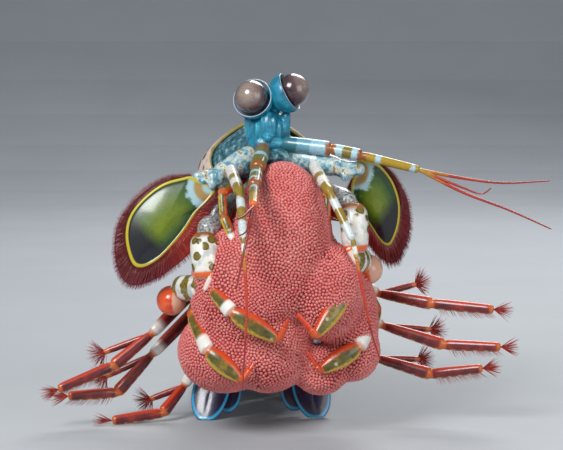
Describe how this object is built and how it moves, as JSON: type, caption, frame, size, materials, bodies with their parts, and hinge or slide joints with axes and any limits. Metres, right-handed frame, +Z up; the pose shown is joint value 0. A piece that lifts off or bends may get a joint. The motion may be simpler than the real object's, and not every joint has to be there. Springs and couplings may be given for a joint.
{
  "type": "mantis shrimp",
  "caption": "Life-size brooding mantis shrimp, thorax raised, carrying its clutch of eggs before it, with eye stalks, feelers, paddles, smashing limbs, legs and tail fan.",
  "frame": {"origin": "middle of the bounding box's footprint, on the floor", "axes": "+Z up; the animal faces -Y, its tail points to +Y; +X is its own left side"},
  "size_m": [0.1114, 0.1442, 0.0788],
  "materials": {
    "shell": "glossy olive-green shell with pale bands and brown spots",
    "head": "glossy turquoise blue",
    "cornea": "glossy taupe with fine dark lines",
    "antenna": "glossy olive-yellow and white bands",
    "paddle": "glossy yellow-green, black towards the tip, dark red fringe",
    "claw": "glossy white with olive spots",
    "heel": "glossy orange-red",
    "arm": "glossy mottled olive and gold with orange edges",
    "leg": "glossy maroon with orange-red rims",
    "swimmer": "dark navy with blue rims and red fringe",
    "eggs": "satin salmon pink"
  },
  "bodies": {
    "root": {"abdomen_1": "shell", "abdomen_2": "shell", "abdomen_3": "shell", "abdomen_4": "shell", "abdomen_5": "shell", "abdomen_6": "shell", "antenna_l": "antenna", "antenna_r": "antenna", "antennal_scale_l": "paddle", "antennal_scale_r": "paddle", "antennule_l": "antenna", "antennule_r": "antenna", "carapace": "shell", "carpus_l": "claw", "carpus_r": "claw", "cephalothorax": "head", "dactyl_l": "heel", "dactyl_r": "heel", "egg_mass": "eggs", "eye_l": "cornea", "eye_r": "cornea", "eyestalk_l": "head", "eyestalk_r": "head", "head": "head", "leg_1_l": "leg", "leg_1_r": "leg", "leg_2_l": "leg", "leg_2_r": "leg", "leg_3_l": "leg", "leg_3_r": "leg", "maxilliped_1_l": "arm", "maxilliped_1_r": "arm", "maxilliped_3_l": "arm", "maxilliped_3_r": "arm", "maxilliped_4_l": "arm", "maxilliped_4_r": "arm", "maxilliped_5_l": "arm", "maxilliped_5_r": "arm", "merus_l": "claw", "merus_r": "claw", "pleopod_1_l": "swimmer", "pleopod_1_r": "swimmer", "pleopod_2_l": "swimmer", "pleopod_2_r": "swimmer", "pleopod_3_l": "swimmer", "pleopod_3_r": "swimmer", "pleopod_4_l": "swimmer", "pleopod_4_r": "swimmer", "pleopod_5_l": "swimmer", "pleopod_5_r": "swimmer", "propodus_l": "claw", "propodus_r": "claw", "rostral_plate": "shell", "telson": "shell", "thorax_6": "shell", "thorax_7": "shell", "thorax_8": "shell", "uropod_l": "swimmer", "uropod_r": "swimmer"}
  },
  "joints": []
}
